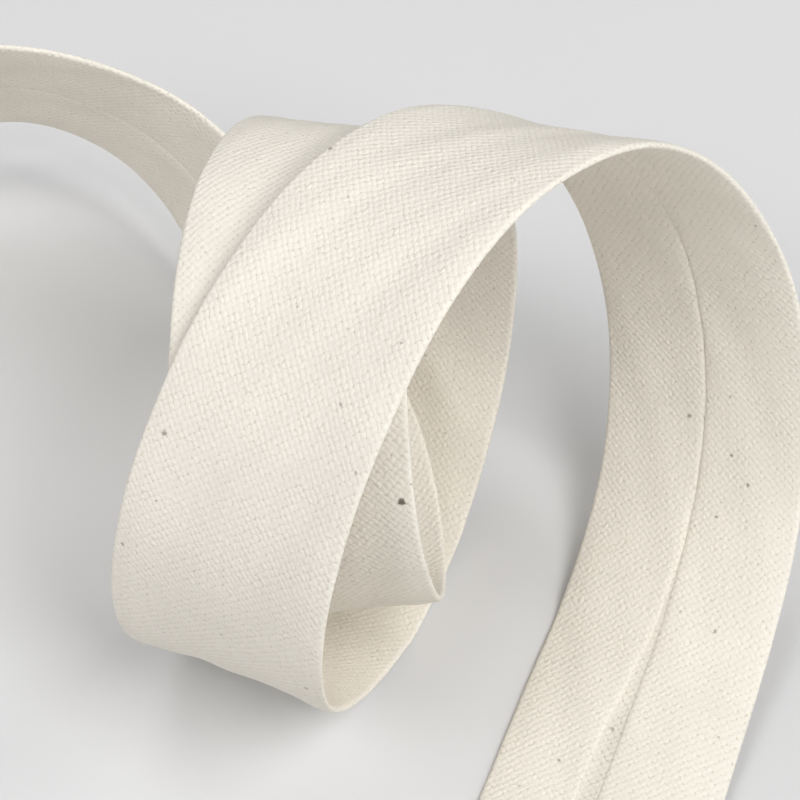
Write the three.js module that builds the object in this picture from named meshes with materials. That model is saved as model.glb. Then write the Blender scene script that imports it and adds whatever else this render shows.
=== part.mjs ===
// A cut length of single-fold bias binding, lying in two loose loops with both ends on the table.
// Millimetres, +Z up. The origin is on the table, under the middle of the whole.
// The tape has a plain right side. Both long edges are folded to its wrong side, where they make
// two flaps with a narrow slit between their raw edges.
import * as THREE from 'three';

// The tape
const WIDTH = 20;              // finished width between the two folds
const THICKNESS = 1;           // the cloth and its flaps, pressed flat
const FOLD_RADIUS = THICKNESS / 2;
const FOLD_STEPS = 4;          // facets round each folded edge

// The slit between the flaps' raw edges
const SLIT_EDGE = -0.3;        // the right flap's raw edge, measured across from the tape's middle
const SLIT_WIDTH = 0.6;        // from there to the left flap's raw edge
const SLIT_WIDTH_AT_END = 2.2; // the flaps spread at the near cut end
const SLIT_SPREAD_LENGTH = 50; // how far along the tape the spread reaches
const SLIT_DEPTH = 0.35;

// How the tape lies: one row every ROW_SPACING of tape, from the near cut end to the far one.
// x, y and z place the tape's middle line. turn is how far the line across the tape, from the left
// fold to the right one, points clockwise from +X in plan. bank is how far it rises, in degrees.
const ROW_SPACING = 20;
const COLUMNS = ['x', 'y', 'z', 'turn', 'bank'];
const FOLDS = [
  // near end, flat on the table
  [42.5, -50, 0.3, 22, 0],
  [49.5, -31.5, 0.3, 22, 0],
  [56.5, -12.7, 1.2, 22, 6],
  // first loop: up its far side, over the top and down its near side
  [62.5, 5.3, 8.2, 24, 18],
  [61.5, 15, 25.5, 31, 22],
  [52, 14.5, 43, 38, 22],
  [38.5, 3, 50.5, 43, 14],
  [27, -11.5, 43, 40, 4],
  [21, -20, 26.5, 32, -2],
  [22, -14.5, 8, 23, 0],
  // along the table, then the second loop
  [29, 2, 0.6, 22, 1],
  [35.5, 19.5, 7, 24, 7],
  [36.5, 26, 25, 21, 6],
  [31.5, 17, 42, 14, 9],
  [27, -1.5, 44.5, 14, 14],
  [27, -15.5, 31, 9, 10],
  [29.5, -11.5, 12.5, -3, 11],
  // away on its left fold, over the first loop's foot, and round in a standing arch
  [29, 6.5, 7, -8, 25],
  [23.5, 25.5, 9, 2, 57],
  [14, 42, 15, 63, 73],
  [-4, 49, 18.5, 92, 63],
  [-22.5, 43.5, 15, 128, 74],
  [-37.5, 31.5, 9, 202, 50],
  // down to the far end, flat on the table
  [-51, 17.5, 2.5, 217, 10],
  [-64, 3, 0.3, 222, 0],
].map((row) => Object.fromEntries(COLUMNS.map((column, i) => [column, row[i]])));
const STEPS_PER_ROW = 5;

// Second derivatives of a natural cubic spline through evenly spaced values
function splineBends(values) {
  const last = values.length - 1;
  const scale = new Array(values.length).fill(0);
  const bends = new Array(values.length).fill(0);
  for (let i = 1; i < last; i += 1) {
    const pivot = 4 - scale[i - 1];
    scale[i] = 1 / pivot;
    bends[i] = (6 * (values[i - 1] - 2 * values[i] + values[i + 1]) - bends[i - 1]) / pivot;
  }
  for (let i = last - 1; i > 0; i -= 1) bends[i] -= scale[i] * bends[i + 1];
  return bends;
}

// A smooth function of the row number through the given values, one for each row
function spline(values) {
  const bends = splineBends(values);
  return (at) => {
    const i = Math.min(Math.floor(at), values.length - 2);
    const b = at - i;
    const a = 1 - b;
    const straight = a * values[i] + b * values[i + 1];
    return straight + ((a ** 3 - a) * bends[i] + (b ** 3 - b) * bends[i + 1]) / 6;
  };
}

// The same for a vector worked out from each row
function vectorSpline(toVector) {
  const vectors = FOLDS.map(toVector);
  const parts = ['x', 'y', 'z'].map((axis) => spline(vectors.map((v) => v[axis])));
  return (at) => new THREE.Vector3(...parts.map((part) => part(at)));
}

function acrossOf(row) {
  const turn = THREE.MathUtils.degToRad(row.turn);
  const bank = THREE.MathUtils.degToRad(row.bank);
  return new THREE.Vector3(Math.cos(bank) * Math.cos(turn), -Math.cos(bank) * Math.sin(turn), Math.sin(bank));
}

const middleLine = vectorSpline((row) => new THREE.Vector3(row.x, row.y, row.z));
const acrossLine = vectorSpline(acrossOf);

// Centre of the tape and its own axes: across it, and out of its wrong side
function stationAt(at) {
  const reach = 0.01;
  const last = FOLDS.length - 1;
  const along = middleLine(Math.min(at + reach, last)).sub(middleLine(Math.max(at - reach, 0))).normalize();
  const across = acrossLine(at);
  across.addScaledVector(along, -across.dot(along)).normalize();
  return { centre: middleLine(at), across, out: new THREE.Vector3().crossVectors(across, along) };
}

function slitWidthAt(distance) {
  const spread = Math.max(0, 1 - distance / SLIT_SPREAD_LENGTH);
  return SLIT_WIDTH + (SLIT_WIDTH_AT_END - SLIT_WIDTH) * spread;
}

// Cross-section of the tape, counter-clockwise: the right side, a fold, the two flaps, the other fold
function sectionAt(distance) {
  const half = THICKNESS / 2;
  const foldCentre = WIDTH / 2 - FOLD_RADIUS;
  const leftEdge = SLIT_EDGE - slitWidthAt(distance);
  const points = [];
  for (const side of [1, -1]) {
    for (let i = 0; i <= FOLD_STEPS; i += 1) {
      const angle = Math.PI * (i / FOLD_STEPS - 0.5);
      const outward = foldCentre + FOLD_RADIUS * Math.cos(angle);
      points.push(new THREE.Vector2(side * outward, side * half * Math.sin(angle)));
    }
    if (side === 1) {
      points.push(new THREE.Vector2(SLIT_EDGE, half));
      points.push(new THREE.Vector2(SLIT_EDGE, half - SLIT_DEPTH));
      points.push(new THREE.Vector2(leftEdge, half - SLIT_DEPTH));
      points.push(new THREE.Vector2(leftEdge, half));
    }
  }
  return points;
}

// One closed solid: the section carried along the tape, with a square cut at each end.
// Cloth that would dip below the table lies flat on it.
function tapeGeometry() {
  const steps = (FOLDS.length - 1) * STEPS_PER_ROW;
  const count = sectionAt(0).length;
  const positions = [];
  for (let step = 0; step <= steps; step += 1) {
    const at = step / STEPS_PER_ROW;
    const { centre, across, out } = stationAt(at);
    for (const point of sectionAt(at * ROW_SPACING)) {
      const place = centre.clone().addScaledVector(across, point.x).addScaledVector(out, point.y);
      positions.push(place.x, place.y, Math.max(place.z, 0));
    }
  }
  const faces = [];
  for (let step = 0; step < steps; step += 1) {
    for (let i = 0; i < count; i += 1) {
      const here = step * count;
      const next = here + count;
      const j = (i + 1) % count;
      faces.push(here + i, next + i, next + j, here + i, next + j, here + j);
    }
  }
  const cap = THREE.ShapeUtils.triangulateShape(sectionAt(0), []);
  const farCap = THREE.ShapeUtils.triangulateShape(sectionAt(steps * ROW_SPACING), []);
  for (const [a, b, c] of cap) faces.push(a, b, c);
  for (const [a, b, c] of farCap) faces.push(steps * count + a, steps * count + c, steps * count + b);
  const geometry = new THREE.BufferGeometry();
  geometry.setAttribute('position', new THREE.Float32BufferAttribute(positions, 3));
  geometry.setIndex(faces);
  geometry.computeVertexNormals();
  return geometry;
}

const cotton = new THREE.MeshStandardMaterial({
  name: 'unbleached cotton',
  color: new THREE.Color(0.86, 0.84, 0.78),
  roughness: 0.95,
  metalness: 0,
});

const binding = new THREE.Mesh(tapeGeometry(), cotton);
binding.name = 'binding';

const part = new THREE.Group();
part.add(binding);

export default part;
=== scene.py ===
"""Looks of a cut length of single-fold bias binding, laid in two loose loops and a standing arch.

Metres, +Z up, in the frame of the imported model. Sizes named here are in millimetres unless a
comment says otherwise.
"""
import math

import bpy
import numpy as np
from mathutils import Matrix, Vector


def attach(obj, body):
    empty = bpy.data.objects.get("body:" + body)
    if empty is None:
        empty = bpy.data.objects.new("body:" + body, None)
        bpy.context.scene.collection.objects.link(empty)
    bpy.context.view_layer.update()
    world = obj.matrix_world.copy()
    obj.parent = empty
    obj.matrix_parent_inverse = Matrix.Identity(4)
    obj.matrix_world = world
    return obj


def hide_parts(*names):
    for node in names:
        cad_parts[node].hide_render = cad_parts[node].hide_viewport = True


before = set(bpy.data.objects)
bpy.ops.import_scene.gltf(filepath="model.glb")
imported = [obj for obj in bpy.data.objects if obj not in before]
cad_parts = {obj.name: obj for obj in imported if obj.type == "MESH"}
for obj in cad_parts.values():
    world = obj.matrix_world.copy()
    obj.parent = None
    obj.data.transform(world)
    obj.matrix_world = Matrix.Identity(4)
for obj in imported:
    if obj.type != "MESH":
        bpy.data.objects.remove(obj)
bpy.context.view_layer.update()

MM = 0.001

# The camera, at the photograph's angle
CAMERA_PLACE = (35.5, -160.58, 205.0)
CAMERA_AIM = (35.5, 24.0, 0.0)
LENS = 128.08
SENSOR = 36.0
NEAREST_SEEN = 10.0

# How the tape lies, one row every ROW_SPACING of tape from the near cut end to the far one.
# x, y and z place the middle line. turn is how far the line across the tape points clockwise from
# +X in plan, and bank is how far it rises, in degrees.
ROW_SPACING = 20.0
FOLDS = np.array([
    # x, y, z, turn, bank
    # Near end, flat on the floor
    [42.5, -50, 0.3, 22, 0],
    [49.5, -31.5, 0.3, 22, 0],
    [56.5, -12.7, 1.2, 22, 6],
    # First loop: up its far side, over the top and down its near side
    [62.5, 5.3, 8.2, 24, 18],
    [61.5, 15, 25.5, 31, 22],
    [52, 14.5, 43, 38, 22],
    [38.5, 3, 50.5, 43, 14],
    [27, -11.5, 43, 40, 4],
    [21, -20, 26.5, 32, -2],
    [22, -14.5, 8, 23, 0],
    # Along the floor, then the second loop
    [29, 2, 0.6, 22, 1],
    [35.5, 19.5, 7, 24, 7],
    [36.5, 26, 25, 21, 6],
    [31.5, 17, 42, 14, 9],
    [27, -1.5, 44.5, 14, 14],
    [27, -15.5, 31, 9, 10],
    [29.5, -11.5, 12.5, -3, 11],
    # Away on its left fold, over the first loop's foot, and round in a standing arch
    [29, 6.5, 7, -8, 25],
    [23.5, 25.5, 9, 2, 57],
    [14, 42, 15, 63, 73],
    [-4, 49, 18.5, 92, 63],
    [-22.5, 43.5, 15, 128, 74],
    [-37.5, 31.5, 9, 202, 50],
    # Down to the far end, flat on the floor
    [-51, 17.5, 2.5, 217, 10],
    [-64, 3, 0.3, 222, 0],
])
LAST_ROW = len(FOLDS) - 1
LENGTH = LAST_ROW * ROW_SPACING
STATION_SPACING = 1.0
HEADING_REACH = 0.01    # rows either way, between which the tape's heading is taken

# The cloth and how it is folded
WIDTH = 20.0
LAYER = 0.2             # one layer of the cloth
FOLD_REACH = 0.35       # of the cloth's middle surface round a fold, across the tape
FOLD_RISE = 0.2         # and out of it
SHOULDER = 0.10         # how much the right side stands out further in than at a fold
SHOULDER_REACH = 1.3
PUFF = 0.14             # how much higher than at its fold a flap lies next to it
PUFF_REACH = 1.3
FLAP_DROP = 0.10        # how much lower it lies again further in, on the layer under it
FLAT_REACH = 7.0        # how far from the folds the two come to lie on each other
LAYER_GAP = 0.02        # what is left between them there
FAR_FOLD = WIDTH / 2 - FOLD_REACH - LAYER / 2
TURN_LENGTH = math.pi * math.sqrt((FOLD_REACH**2 + FOLD_RISE**2) / 2)

# The slit between the flaps' raw edges
SLIT_EDGE = 0.1         # the right flap's raw edge, measured across from the tape's middle
SLIT_WIDTH = 0.24       # from there to the left flap's raw edge
SLIT_SPREAD = 1.6       # how much wider it is at the near end
SLIT_SHIFT = 0.2        # how much further left the right raw edge lies there
SPREAD_FROM = 30.0      # where along the tape the spread begins to fade
SPREAD_FADE = 24.0
SLIT_CLOSING = 0.18     # how much narrower than SLIT_WIDTH it is further on
CLOSING_FROM = 45.0
CLOSING_LENGTH = 30.0
FRAY_REACH = 0.22       # over which a raw edge thins
FRAY_LEFT = 0.8         # share of its thickness that is gone at the very edge
FRAY_RIGHT = 0.6
SHADED_REACH = 1.3      # from the left raw edge, over which painted shade darkens the layer under the slit

# How unevenly the tape lies: size, length along the tape and phase of a few waves
SWELL = [(0.05, 23, 0.0), (0.03, 13, 1.7)]      # out of the tape
SWELL_SLANT = 3.0                               # how much earlier it comes for each mm to the right
WANDER = [(0.06, 71, 0.5), (0.04, 29, 2.2)]     # across it
EDGE_WANDER = [(0.10, 53, 2.4), (0.02, 5, 2.0)]  # of the right raw edge, across
# Of the slit's width where it hasn't spread, as shares of it
WIDTH_WAVES = [(0.16, 7.1, 1.0), (0.13, 3.3, 0.2), (0.07, 1.7, 2.6)]

CROWN = 1.0             # how far the middle stands above the folds near the near end
CROWN_FROM = 48.0       # where along the tape that begins to fade
CROWN_FADE = 26.0

# The floor under the tape
SETTLE_REACH = 0.9      # tape nearer to the floor than this settles towards it
SETTLED_FROM = 0.3      # and nearer than this, all the way down
CLEARANCE = 0.01        # between the cloth and the floor

# Points of a cross-section of the cloth
FLAP_POINTS = 19        # across one flap
FLAP_CROWDING = 1.5     # power that crowds them towards the raw edge
FOLD_POINTS = 8         # round one fold
MAIN_POINTS = 45        # across the layer under the flaps
SHARP_EDGE = 50.0       # degrees, above which an edge is drawn sharp


def spline(values):
    """A natural cubic spline through one value for each row, as a function of the row number."""
    count = len(values)
    system = np.eye(count)
    turns = np.zeros(count)
    for i in range(1, count - 1):
        system[i, i - 1:i + 2] = 1, 4, 1
        turns[i] = 6 * (values[i - 1] - 2 * values[i] + values[i + 1])
    bends = np.linalg.solve(system, turns)

    def at(rows):
        i = np.clip(rows.astype(int), 0, count - 2)
        b = rows - i
        a = 1 - b
        straight = a * values[i] + b * values[i + 1]
        return straight + ((a**3 - a) * bends[i] + (b**3 - b) * bends[i + 1]) / 6

    return at


def unit(vectors):
    return vectors / np.linalg.norm(vectors, axis=-1, keepdims=True)


def ease(x):
    """From 0 to 1, smooth at both ends."""
    x = np.clip(x, 0, 1)
    return x * x * (3 - 2 * x)


def stations(rows):
    """The tape's middle at each row number, and its axes across the tape and out of its wrong side."""
    turn, bank = np.radians(FOLDS[:, 3]), np.radians(FOLDS[:, 4])
    leans = np.stack([np.cos(bank) * np.cos(turn), -np.cos(bank) * np.sin(turn), np.sin(bank)], axis=1)
    place = [spline(FOLDS[:, axis]) for axis in range(3)]
    lean = [spline(leans[:, axis]) for axis in range(3)]

    def follow(curves, at):
        return np.stack([curve(at) for curve in curves], axis=1)

    ahead = follow(place, np.minimum(rows + HEADING_REACH, LAST_ROW))
    behind = follow(place, np.maximum(rows - HEADING_REACH, 0))
    along = unit(ahead - behind)
    across = follow(lean, rows)
    across = unit(across - along * (across * along).sum(axis=1, keepdims=True))
    return follow(place, rows), across, np.cross(across, along)


def sway(distance, waves):
    """A slow unevenness along the tape, from a few long waves."""
    return sum(size * np.sin(2 * math.pi * distance / length + phase) for size, length, phase in waves)


def slit_edges(distance):
    """Where the raw edges of the left flap and the right one lie across the tape."""
    spread = 1 - ease((distance - SPREAD_FROM) / SPREAD_FADE)
    closed = ease((distance - CLOSING_FROM) / CLOSING_LENGTH)
    ragged = 1 + sway(distance, WIDTH_WAVES)
    width = (SLIT_WIDTH - SLIT_CLOSING * closed) * ragged + SLIT_SPREAD * spread
    right = SLIT_EDGE - SLIT_SHIFT * spread + sway(distance, EDGE_WANDER)
    return right - width, right


def main_height(u):
    """How far out of the tape the middle of the layer under the flaps lies."""
    from_fold = FAR_FOLD - np.abs(u)
    pressed = FOLD_RISE + PUFF - FLAP_DROP - LAYER - LAYER_GAP
    shoulder = -FOLD_RISE - SHOULDER * ease(from_fold / SHOULDER_REACH)
    return shoulder + (pressed + FOLD_RISE + SHOULDER) * ease(from_fold / FLAT_REACH)


def flap_section(raw, side):
    """One flap from its raw edge to its fold. side is +1 for the right flap and -1 for the left one."""
    share = np.linspace(0, 1, FLAP_POINTS)[None, :] ** FLAP_CROWDING
    u = raw[:, None] + (side * FAR_FOLD - raw[:, None]) * share
    from_fold = FAR_FOLD - side * u
    height = FOLD_RISE + PUFF * (1 - np.exp(-from_fold / PUFF_REACH))
    height = height - FLAP_DROP * ease(from_fold / FLAT_REACH)
    return u, height, side * (FAR_FOLD + TURN_LENGTH + from_fold)


def cloth_section(distance):
    """The middle surface of the folded cloth at each distance along the tape, as three arrays of
    stations by points: how far across the tape, how far out of it, and how far across the flat cloth."""
    left, right = slit_edges(distance)
    bend = np.linspace(0, math.pi, FOLD_POINTS + 2)[1:-1]
    round_fold = FAR_FOLD + FOLD_REACH * np.sin(bend)
    turned = TURN_LENGTH * bend / math.pi
    main = np.linspace(-FAR_FOLD, FAR_FOLD, MAIN_POINTS)
    left_fold = (-round_fold, FOLD_RISE * np.cos(bend), turned - FAR_FOLD - TURN_LENGTH)
    right_fold = (round_fold, -FOLD_RISE * np.cos(bend), turned + FAR_FOLD)
    under = (main, main_height(main), main)
    left_flap = flap_section(left, -1)
    right_flap = [values[:, ::-1] for values in flap_section(right, 1)]

    everywhere = np.ones_like(distance)[:, None]
    parts = zip(left_flap, left_fold, under, right_fold, right_flap)
    return [np.hstack([values * everywhere for values in part]) for part in parts]


def thinning(u):
    """The share of its thickness that the cloth has lost at each point, near the raw edges."""
    thinned = np.zeros_like(u)
    left, right = u[:, :FLAP_POINTS], u[:, -FLAP_POINTS:]
    thinned[:, :FLAP_POINTS] = FRAY_LEFT * np.exp(-np.abs(left - u[:, :1]) / FRAY_REACH)
    thinned[:, -FLAP_POINTS:] = FRAY_RIGHT * np.exp(-np.abs(right - u[:, -1:]) / FRAY_REACH)
    return thinned


def cloth_surfaces(rows, u, n):
    """Points round the cloth at each station: its inner face, then its outer face the other way.
    A raw edge thins on its outer face only, so that it stays down on the layer under it."""
    distance = rows[:, None] * ROW_SPACING
    centre, across, out = (axis[:, None, :] for axis in stations(rows))
    step_u, step_n = np.gradient(u, axis=1), np.gradient(n, axis=1)
    size = np.hypot(step_u, step_n)
    side_u, side_n = -step_n / size, step_u / size
    crown = CROWN * (1 - ease((distance - CROWN_FROM) / CROWN_FADE)) * (1 - (2 * u / WIDTH) ** 2)
    swell = crown + sway(distance + SWELL_SLANT * u, SWELL)
    wander = sway(distance, WANDER)

    def face(offset):
        face_u = u + offset * side_u + wander
        face_n = n + offset * side_n + swell
        return centre + face_u[..., None] * across + face_n[..., None] * out

    inner = face(LAYER / 2)
    outer = face(LAYER / 2 * (2 * thinning(u) - 1))
    return np.concatenate([inner, outer[:, ::-1]], axis=1)


def settle(points):
    """Lower the stations that are close to the floor onto it, and lift what is below it."""
    lowest = points[..., 2].min(axis=1)
    near = 1 - ease((np.maximum(lowest, 0) - SETTLED_FROM) / (SETTLE_REACH - SETTLED_FROM))
    drop = np.where(lowest > 0, lowest * near, lowest)
    points[..., 2] -= drop[:, None]
    points[..., 2] = np.maximum(points[..., 2], 0.0) + CLEARANCE


def strip_faces(count, round_it):
    """Quads of the closed strip, of round_it points at each of count stations, with both ends capped."""
    index = np.arange(count * round_it).reshape(count, round_it)
    here, ahead = index[:-1], index[1:]
    sides = [here, np.roll(here, -1, axis=1), np.roll(ahead, -1, axis=1), ahead]
    walls = np.stack(sides, axis=-1).reshape(-1, 4)
    caps = []
    for ring, order in ((index[0], 1), (index[-1], -1)):
        for i in range(round_it // 2 - 1):
            j = round_it - 1 - i
            caps.append([ring[i], ring[j], ring[j - 1], ring[i + 1]][::order])
    return np.concatenate([walls, np.array(caps)])


def add_values(mesh, name, kind, field, values):
    """Store one value for each point of the mesh, for the material to read."""
    attribute = mesh.attributes.new(name, kind, "POINT")
    attribute.data.foreach_set(field, values.reshape(-1).astype(np.float32))


def tape_mesh():
    """One closed strip of cloth with both long edges folded over."""
    count = round(LENGTH / STATION_SPACING) + 1
    rows = np.linspace(0, LAST_ROW, count)
    distance = rows * ROW_SPACING
    u, n, s = cloth_section(distance)
    points = cloth_surfaces(rows, u, n)
    settle(points)
    round_it = points.shape[1]
    mesh = bpy.data.meshes.new("tape")
    mesh.from_pydata((points.reshape(-1, 3) * MM).tolist(), [], strip_faces(count, round_it).tolist())

    # Where each point lies on the flat cloth: across it, and along it
    flat_s = np.concatenate([s, s[:, ::-1]], axis=1)
    flat_v = np.repeat(distance[:, None], round_it, axis=1)
    cloth = np.stack([flat_s, flat_v, np.zeros_like(flat_s)], axis=-1)
    add_values(mesh, "cloth", "FLOAT_VECTOR", "vector", cloth)

    # How far painted shade darkens a point of the layer under the slit
    shade = np.zeros((count, round_it))
    first = FLAP_POINTS + FOLD_POINTS
    main = slice(first, first + MAIN_POINTS)
    shade[:, main] = ease((u[:, main] - u[:, :1]) / SHADED_REACH)
    add_values(mesh, "painted_slit_shade", "FLOAT", "value", shade)

    mesh.polygons.foreach_set("use_smooth", [True] * len(mesh.polygons))
    mesh.set_sharp_from_angle(angle=math.radians(SHARP_EDGE))
    mesh.validate()
    mesh.update()
    return mesh


class Nodes:
    """Short ways to add shader nodes to one material."""

    def __init__(self, name):
        self.material = bpy.data.materials.new(name)
        self.material.use_nodes = True
        self.tree = self.material.node_tree
        self.tree.nodes.clear()

    def add(self, kind, **values):
        node = self.tree.nodes.new(kind)
        for key, value in values.items():
            setattr(node, key, value)
        return node

    def plug(self, value, socket):
        if isinstance(value, bpy.types.NodeSocket):
            self.tree.links.new(value, socket)
        else:
            socket.default_value = value

    def math(self, operation, *values):
        node = self.add("ShaderNodeMath", operation=operation)
        for value, socket in zip(values, node.inputs):
            self.plug(value, socket)
        return node.outputs[0]

    def times(self, a, b):
        return self.math("MULTIPLY", a, b)

    def line(self, value, slope, start):
        """The value times the slope, plus the start."""
        return self.math("MULTIPLY_ADD", value, slope, start)

    def scaled(self, value, low, high, to_low=0.0, to_high=1.0):
        node = self.add("ShaderNodeMapRange", interpolation_type="SMOOTHSTEP")
        self.plug(value, node.inputs["Value"])
        node.inputs["From Min"].default_value = low
        node.inputs["From Max"].default_value = high
        node.inputs["To Min"].default_value = to_low
        node.inputs["To Max"].default_value = to_high
        return node.outputs["Result"]

    def noise(self, vector, scale, detail):
        node = self.add("ShaderNodeTexNoise")
        self.plug(vector, node.inputs["Vector"])
        node.inputs["Scale"].default_value = scale
        node.inputs["Detail"].default_value = detail
        return node.outputs["Fac"]

    def white_noise(self, x, y):
        """A random value that is the same wherever both numbers are."""
        node = self.add("ShaderNodeTexWhiteNoise", noise_dimensions="2D")
        self.plug(self.combine(x, y), node.inputs["Vector"])
        return node.outputs["Value"]

    def mix(self, share, a, b):
        node = self.add("ShaderNodeMix", data_type="RGBA")
        self.plug(share, node.inputs["Factor"])
        self.plug(a, node.inputs["A"])
        self.plug(b, node.inputs["B"])
        return node.outputs["Result"]

    def combine(self, x, y, z=0.0):
        node = self.add("ShaderNodeCombineXYZ")
        for value, socket in zip((x, y, z), node.inputs):
            self.plug(value, socket)
        return node.outputs[0]

    def point_value(self, name):
        """A value stored at the mesh's points."""
        return self.add("ShaderNodeAttribute", attribute_name=name)

    def matte(self, colour, roughness, specular, normal=None):
        shader = self.add("ShaderNodeBsdfPrincipled")
        self.plug(colour, shader.inputs["Base Color"])
        shader.inputs["Roughness"].default_value = roughness
        shader.inputs["Specular IOR Level"].default_value = specular
        if normal is not None:
            self.plug(normal, shader.inputs["Normal"])
        end = self.add("ShaderNodeOutputMaterial")
        self.plug(shader.outputs[0], end.inputs["Surface"])
        return self.material


# The weave. Heights are shares of RELIEF.
YARN_P = 0.585          # spacing of the yarns that run one way, and of those that cross them
YARN_Q = 0.48
SEED_P = 0.0
SEED_Q = 9.0
ROUND_P = 0.8           # how round a yarn is: 1 is a sine, less is flatter with steeper sides
ROUND_Q = 0.45
HEIGHT_P = 1.0
HEIGHT_Q = 0.8
STRAY = 0.9             # how far the yarns stray sideways, in yarns, and how often they do
STRAY_SCALE = 0.9
LIFT_LEAST = 0.3        # how far a yarn rises where it crosses over another
LIFT_SPAN = 0.5         # and how much further, by chance
UNEVEN = 1.1            # how much a yarn's height varies, by noise with these steps for each yarn
UNEVEN_ACROSS = 1.9
UNEVEN_ALONG = 0.9
SLUB = 0.3              # how much a whole stretch of one yarn stands out, and its step along it
SLUB_ALONG = 0.08
FIBRES = 0.35           # height and scale of the fine roughness
FIBRE_SCALE = 4.0
RELIEF = 0.056          # how deep the weave is
# The holes between four yarns get painted shade, darkest at HOLE_FLOOR
HOLE_FLOOR = 0.05       # height at which a hole between four yarns is at its darkest
HOLE_RIM = 0.6          # and at which it ends
HOLE_LEAST = 0.3        # how open a hole is at least
HOLE_SPAN = 0.9         # and how much more, by chance
HOLE_POWER = 2.0        # the higher, the fewer holes are wide open

# Colours, as shares of full red, green and blue
CREAM = (0.87, 0.825, 0.74, 1.0)
# SHADE is the colour of painted shade, in the holes of the weave and under the slit
SHADE = (0.66, 0.60, 0.50, 1.0)
SPECK = (0.10, 0.08, 0.06, 1.0)
HOLE_PAINTED_SHADE = 1.0        # how far painted shade takes the colour of an open hole towards SHADE
PATCHES = (0.98, 1.02)  # lightness of large soft patches
PATCH_SCALE = 0.12
PATCH_NOISE = (0.3, 0.7)  # noise values at which a patch is darkest and lightest
CROSSING_SPAN = 0.03    # how much lighter one crossing of two yarns can be than another
SLIT_PAINTED_SHADE = 0.11      # lightness that painted shade takes off the layer under the slit
ROUGHNESS = 0.92
SPECULAR = 0.2

# Small seed flecks, in some cells of a random pattern. Their lengths are in cells.
CELL_SCALE = 0.42       # cells in a millimetre
CELL_SHARE = 0.32       # of the cells have one
SMALL_LEAST = 0.020     # the least radius
SMALL_SPAN = 0.030      # and how much more, by chance
SMALL_POWER = 4.0       # the higher, the fewer of them are large
SMALL_BLUR = (-0.012, 0.03)  # how far inside its outline a fleck begins and is at its darkest
SMALL_DARK = (0.12, 0.45)  # the least and the greatest darkness
RAGGED = 0.06           # how uneven their outlines are

# Larger seed flecks: across the flat cloth, along the tape, radius and darkness
LARGE_RAGGED = 7.0      # millimetres of uneven outline for each cell of a small one's
LARGE_BLUR = (0.5, 1.2)  # shares of the radius between which a fleck fades out
FLECKS = [
    (9, 299, 0.34, 0.9),
    (-9.5, 122.5, 0.22, 0.6),
    (-8, 149, 0.26, 0.6),
    (-18.5, 67, 0.25, 0.55),
    (15, 61.5, 0.21, 0.55),
    (17, 64, 0.2, 0.55),
    (17.5, 58, 0.17, 0.55),
    (15, 47.5, 0.18, 0.5),
    (-15.5, 31.5, 0.2, 0.55),
    (8.5, 167.5, 0.2, 0.5),
    (-9, 160.5, 0.2, 0.45),
    (5.5, 140.5, 0.16, 0.5),
    (-1, 36, 0.17, 0.5),
    (8, 134.5, 0.13, 0.5),
    (20, 67, 0.14, 0.5),
    (20, 82.5, 0.13, 0.45),
    (-13, 28, 0.14, 0.45),
    (9, 144.5, 0.14, 0.4),
    (17.5, 69.5, 0.14, 0.4),
    (0.5, 166, 0.13, 0.4),
    (11, 87.5, 0.15, 0.35),
    (12, 38, 0.16, 0.35),
    (18.5, 48.5, 0.15, 0.3),
    (7, 118.5, 0.13, 0.35),
    (18, 223.5, 0.17, 0.3),
]


def yarn_height(n, own, other, lift, seed, roundness, height):
    """Height of the yarns that one way's count numbers. own and other are pairs of count and wave."""
    (own_count, own_wave), (other_count, other_wave) = own, other
    # A yarn rises over one yarn and dips under the next, and its own fibres make it uneven
    rise = n.times(n.math("SIGN", own_wave), other_wave)
    grain = n.combine(n.times(own_count, UNEVEN_ACROSS), n.times(other_count, UNEVEN_ALONG), seed)
    uneven = n.line(n.noise(grain, scale=1.0, detail=2.0), UNEVEN, 0.5 - UNEVEN / 2)
    stretch = n.combine(n.math("FLOOR", own_count), n.times(other_count, SLUB_ALONG), seed)
    slub = n.noise(stretch, scale=1.0, detail=1.0)
    level = n.line(slub, SLUB, n.line(rise, lift, uneven))
    across = n.times(n.math("POWER", n.math("ABSOLUTE", own_wave), roundness), height)
    return n.times(across, level)


def weave(n, cloth):
    """A plain weave at 45 degrees to the run: its height, how much painted shade darkens each hole in
    it, and a random value for each crossing."""
    split = n.add("ShaderNodeSeparateXYZ")
    n.plug(cloth, split.inputs[0])
    s, v = split.outputs[0], split.outputs[1]
    stray = n.line(n.noise(cloth, STRAY_SCALE, detail=3.0), STRAY, -STRAY / 2)
    # p and q count the yarns that run each way
    p = n.line(n.math("ADD", s, v), math.sqrt(0.5) / YARN_P, stray)
    q = n.line(n.math("SUBTRACT", s, v), math.sqrt(0.5) / YARN_Q, n.times(stray, -1.0))
    way_p = (p, n.math("SINE", n.times(p, math.pi)))
    way_q = (q, n.math("SINE", n.times(q, math.pi)))
    crossing = n.white_noise(n.math("FLOOR", p), n.math("FLOOR", q))
    lift = n.line(crossing, LIFT_SPAN, LIFT_LEAST)
    dip = n.times(lift, -1.0)
    height = n.math(
        "MAXIMUM",
        yarn_height(n, way_p, way_q, lift, SEED_P, ROUND_P, HEIGHT_P),
        yarn_height(n, way_q, way_p, dip, SEED_Q, ROUND_Q, HEIGHT_Q),
    )
    # Painted shade in the holes, more in some than in others
    chance = n.white_noise(n.math("ROUND", p), n.math("ROUND", q))
    openness = n.line(n.math("POWER", chance, HOLE_POWER), HOLE_SPAN, HOLE_LEAST)
    hole = n.times(n.scaled(height, HOLE_FLOOR, HOLE_RIM, 1.0, 0.0), openness)
    return height, hole, crossing


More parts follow.
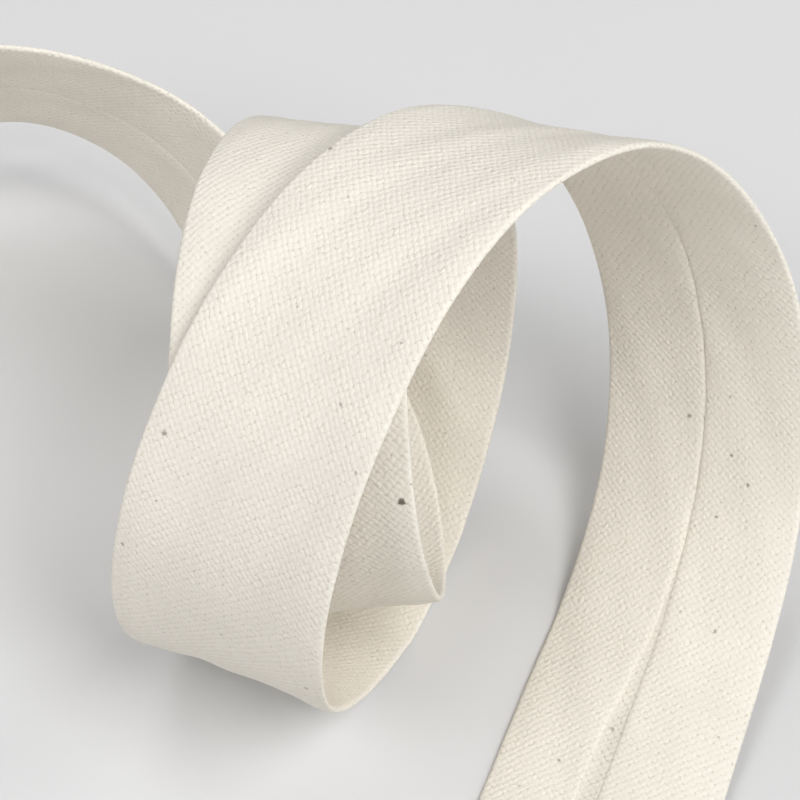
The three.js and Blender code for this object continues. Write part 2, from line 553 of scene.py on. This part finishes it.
def small_flecks(n, cloth, ragged):
    """How dark the small seed flecks are."""
    cells = n.add("ShaderNodeTexVoronoi", voronoi_dimensions="2D", feature="F1")
    n.plug(cloth, cells.inputs["Vector"])
    cells.inputs["Scale"].default_value = CELL_SCALE
    pick = n.add("ShaderNodeSeparateColor")
    n.plug(cells.outputs["Color"], pick.inputs[0])
    chance, size, dark = pick.outputs
    size = n.line(n.math("POWER", size, SMALL_POWER), SMALL_SPAN, SMALL_LEAST)
    inside = n.math("SUBTRACT", size, n.math("ADD", cells.outputs["Distance"], ragged))
    chosen = n.math("LESS_THAN", chance, CELL_SHARE)
    fleck = n.times(n.scaled(inside, *SMALL_BLUR), chosen)
    return n.times(fleck, n.scaled(dark, 0.0, 1.0, *SMALL_DARK))


def flecks(n, cloth, fibres):
    """How dark all the seed flecks are."""
    ragged = n.line(fibres, RAGGED, -RAGGED / 2)
    fleck = small_flecks(n, cloth, ragged)
    for across, along, radius, dark in FLECKS:
        away = n.add("ShaderNodeVectorMath", operation="DISTANCE")
        n.plug(cloth, away.inputs[0])
        away.inputs[1].default_value = (across, along, 0)
        edge = n.line(ragged, LARGE_RAGGED, away.outputs["Value"])
        core, rim = (radius * share for share in LARGE_BLUR)
        fleck = n.math("MAXIMUM", fleck, n.scaled(edge, core, rim, dark, 0.0))
    return fleck


def cotton_colour(n, cloth, hole, crossing, painted_slit_shade):
    """Cream, darkened by painted shade in the holes of the weave and under the slit, and a little
    uneven.
    """
    # Painted shade: the holes of the weave are darker still under the slit
    hole_shade_strength = n.line(painted_slit_shade, HOLE_PAINTED_SHADE, HOLE_PAINTED_SHADE)
    value = n.scaled(n.noise(cloth, PATCH_SCALE, detail=3.0), *PATCH_NOISE, *PATCHES)
    value = n.math("ADD", value, n.line(crossing, CROSSING_SPAN, -CROSSING_SPAN / 2))
    tone = n.add("ShaderNodeHueSaturation")
    # Painted shade under the slit takes lightness off the colour
    n.plug(n.line(painted_slit_shade, -SLIT_PAINTED_SHADE, value), tone.inputs["Value"])
    n.plug(n.mix(n.times(hole, hole_shade_strength), CREAM, SHADE), tone.inputs["Color"])
    return tone.outputs["Color"]


def cotton_material():
    n = Nodes("unbleached cotton")
    cloth = n.point_value("cloth").outputs["Vector"]
    painted_slit_shade = n.point_value("painted_slit_shade").outputs["Fac"]
    fibres = n.noise(cloth, FIBRE_SCALE, detail=2.0)
    height, hole, crossing = weave(n, cloth)
    colour = cotton_colour(n, cloth, hole, crossing, painted_slit_shade)
    colour = n.mix(flecks(n, cloth, fibres), colour, SPECK)
    bump = n.add("ShaderNodeBump")
    bump.inputs["Strength"].default_value = 1.0
    bump.inputs["Distance"].default_value = RELIEF * MM
    n.plug(n.line(fibres, FIBRES, height), bump.inputs["Height"])
    return n.matte(colour, ROUGHNESS, SPECULAR, bump.outputs["Normal"])


# The studio. Lengths here are in metres.
FLOOR_COLOUR = (0.70, 0.70, 0.705, 1)
FLOOR_ROUGHNESS = 0.9
FLOOR_REACH = 3.0
WORLD_STRENGTH = 0.02
LIGHT_AIM = (0.02, 0.01, 0.01)
LIGHT_DISTANCE = 1.6
LIGHT_SIZE = 0.8
# Softboxes: name, bearing from +X and height in degrees, and power
LIGHTS = [
    ("key", 315, 55, 15.3),
    ("front_left", 225, 50, 8.5),
    ("right", 0, 30, 6.0),
    ("back", 110, 55, 5.2),
    ("front", 270, 30, 2.4),
    ("left", 180, 38, 2.0),
]


def add_object(name, data):
    thing = bpy.data.objects.new(name, data)
    bpy.context.collection.objects.link(thing)
    return thing


def point_at(thing, place, aim):
    """Put a camera or a light at a place and turn it to face its aim."""
    thing.location = place
    thing.rotation_euler = (Vector(aim) - Vector(place)).to_track_quat("-Z", "Y").to_euler()


def add_camera():
    data = bpy.data.cameras.new("camera")
    data.lens = LENS
    data.sensor_width = SENSOR
    data.clip_start = NEAREST_SEEN * MM
    camera = add_object("camera", data)
    point_at(camera, Vector(CAMERA_PLACE) * MM, Vector(CAMERA_AIM) * MM)
    bpy.context.scene.camera = camera


def add_softbox(name, bearing, height, power):
    data = bpy.data.lights.new(name, "AREA")
    data.shape = "RECTANGLE"
    data.size = data.size_y = LIGHT_SIZE
    data.energy = power
    bearing, height = math.radians(bearing), math.radians(height)
    level = math.cos(height)
    place = Vector((level * math.cos(bearing), level * math.sin(bearing), math.sin(height)))
    point_at(add_object(name, data), place * LIGHT_DISTANCE, LIGHT_AIM)


def add_world():
    world = bpy.data.worlds.new("studio")
    world.use_nodes = True
    back = world.node_tree.nodes["Background"]
    back.inputs[0].default_value = (1.0, 1.0, 1.0, 1)
    back.inputs[1].default_value = WORLD_STRENGTH
    bpy.context.scene.world = world
    bpy.context.scene.view_settings.view_transform = "Standard"


def add_floor():
    mesh = bpy.data.meshes.new("floor")
    corners = [(x * FLOOR_REACH, y * FLOOR_REACH, 0) for x, y in ((-1, -1), (1, -1), (1, 1), (-1, 1))]
    mesh.from_pydata(corners, [], [(0, 1, 2, 3)])
    mesh.materials.append(Nodes("pale floor").matte(FLOOR_COLOUR, FLOOR_ROUGHNESS, SPECULAR))
    add_object("floor", mesh)


def add_tape():
    mesh = tape_mesh()
    mesh.materials.append(cotton_material())
    tape = add_object("bias_binding", mesh)
    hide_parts("binding")
    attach(tape, "root")


add_camera()
add_world()
for light in LIGHTS:
    add_softbox(*light)
add_floor()
add_tape()
